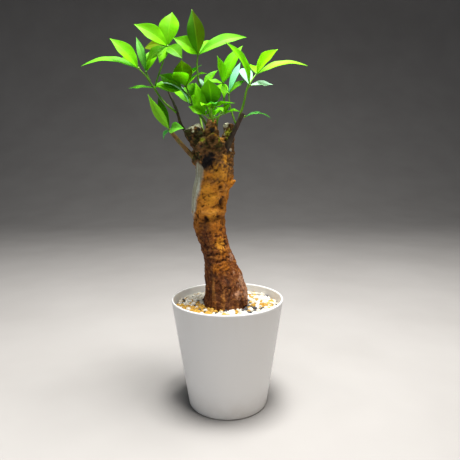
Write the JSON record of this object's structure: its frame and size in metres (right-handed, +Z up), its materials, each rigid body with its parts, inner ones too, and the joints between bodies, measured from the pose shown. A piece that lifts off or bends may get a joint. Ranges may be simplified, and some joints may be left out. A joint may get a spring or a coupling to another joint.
{
  "type": "potted baobab",
  "caption": "Young baobab with a thick bent trunk, cut back at the crown and sprouting palmate leaves, in a tapered white plastic pot.",
  "frame": {"origin": "centre of the pot's base, on the surface that it stands on", "axes": "+Z up along the pot's axis; -Y is the front of the plant, and +X is to its right as seen from the front"},
  "size_m": [0.2247, 0.1241, 0.4081],
  "materials": {
    "pot_plastic": "satin",
    "substrate_grains": "matte",
    "bark": "matte",
    "pale_bark": "satin",
    "twig_bark": "matte",
    "foliage": "satin"
  },
  "bodies": {
    "root": {"pot": "pot_plastic", "substrate": "substrate_grains", "trunk": "bark", "bark_peel": "pale_bark", "twig_left": "twig_bark", "twig_dead": "twig_bark", "twig_right": "twig_bark", "leaves_low_left": "foliage", "shoot_left": "foliage", "shoot_mid_left": "foliage", "shoot_centre": "foliage", "shoot_mid_right": "foliage", "shoot_right": "foliage", "shoot_front": "foliage", "shoot_back_left": "foliage", "shoot_back_right": "foliage"}
  },
  "joints": []
}
